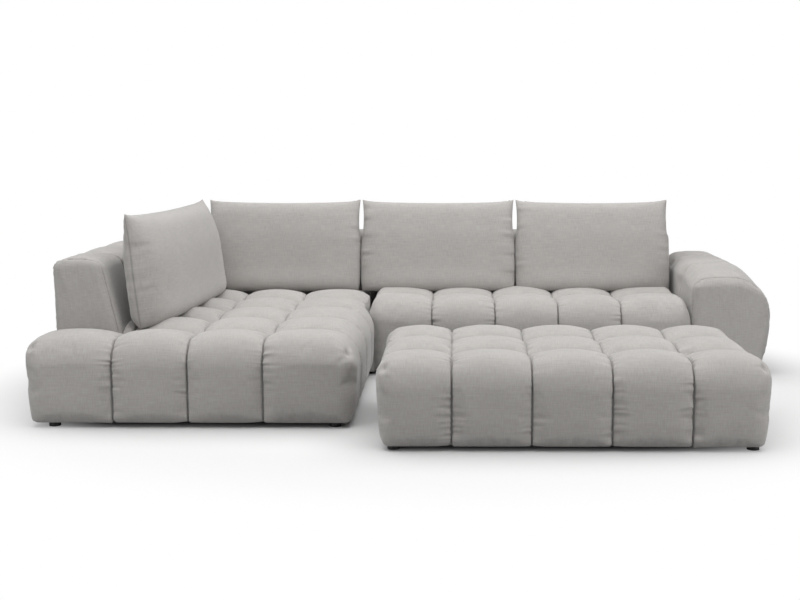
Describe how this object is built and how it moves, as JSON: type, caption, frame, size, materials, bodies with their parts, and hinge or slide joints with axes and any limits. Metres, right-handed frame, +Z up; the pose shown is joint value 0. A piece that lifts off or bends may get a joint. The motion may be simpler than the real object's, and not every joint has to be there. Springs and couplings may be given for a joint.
{
  "type": "corner sofa",
  "caption": "Low corner sofa with a chaise, pillow-tufted seats, a round arm, leaning backs, loose back cushions and a matching tufted ottoman that stands before it.",
  "frame": {"origin": "on the floor, at the middle of the set's outer width and depth, ottoman included", "axes": "+X along the longest side, from the chaise to the arm; +Y from the ottoman to the rear back; +Z up"},
  "size_m": [3.34, 2.39, 0.8604],
  "materials": {
    "woven_fabric": "matte",
    "foam": "matte",
    "fibre_fill": "matte",
    "timber": "matte",
    "webbing": "matte",
    "dust_cover": "matte",
    "foot_plastic": "satin",
    "steel": "satin"
  },
  "bodies": {
    "sofa": {"arm_pad": "woven_fabric", "arm_panels": "timber", "arm_rails": "timber", "chaise_cross_rails": "timber", "chaise_dust_cover": "dust_cover", "chaise_feet": "foot_plastic", "chaise_foam": "foam", "chaise_front_rail": "timber", "chaise_quilt": "woven_fabric", "chaise_rear_rail": "timber", "chaise_side_rails": "timber", "chaise_webbing": "webbing", "corner_back_pad": "woven_fabric", "corner_back_panels": "timber", "corner_back_rails": "timber", "joining_plates": "steel", "left_back_pad": "woven_fabric", "left_back_panels": "timber", "left_back_rails": "timber", "seat_back_pad": "woven_fabric", "seat_back_panels": "timber", "seat_back_rails": "timber", "seat_cross_rails": "timber", "seat_dust_cover": "dust_cover", "seat_feet": "foot_plastic", "seat_foam": "foam", "seat_front_rail": "timber", "seat_quilt": "woven_fabric", "seat_rear_rail": "timber", "seat_side_rails": "timber", "seat_webbing": "webbing", "wall_feet": "foot_plastic"},
    "ottoman": {"ottoman_cross_rails": "timber", "ottoman_dust_cover": "dust_cover", "ottoman_feet": "foot_plastic", "ottoman_foam": "foam", "ottoman_front_rail": "timber", "ottoman_quilt": "woven_fabric", "ottoman_rear_rail": "timber", "ottoman_side_rails": "timber", "ottoman_webbing": "webbing"},
    "left_cushion": {"left_cushion_cover": "woven_fabric", "left_cushion_insert": "fibre_fill"},
    "corner_cushion": {"corner_cushion_cover": "woven_fabric", "corner_cushion_insert": "fibre_fill"},
    "middle_cushion": {"middle_cushion_cover": "woven_fabric", "middle_cushion_insert": "fibre_fill"},
    "right_cushion": {"right_cushion_cover": "woven_fabric", "right_cushion_insert": "fibre_fill"}
  },
  "joints": [
    {"name": "ottoman_slide", "type": "slide", "parent": "sofa", "child": "ottoman", "axis": [0, 1, 0], "range_m": [-0.5, 0.575]},
    {"name": "left_cushion_lift", "type": "slide", "parent": "sofa", "child": "left_cushion", "axis": [0, 0, 1], "range_m": [0, 0.6]},
    {"name": "corner_cushion_lift", "type": "slide", "parent": "sofa", "child": "corner_cushion", "axis": [0, 0, 1], "range_m": [0, 0.6]},
    {"name": "middle_cushion_lift", "type": "slide", "parent": "sofa", "child": "middle_cushion", "axis": [0, 0, 1], "range_m": [0, 0.6]},
    {"name": "right_cushion_lift", "type": "slide", "parent": "sofa", "child": "right_cushion", "axis": [0, 0, 1], "range_m": [0, 0.6]}
  ]
}
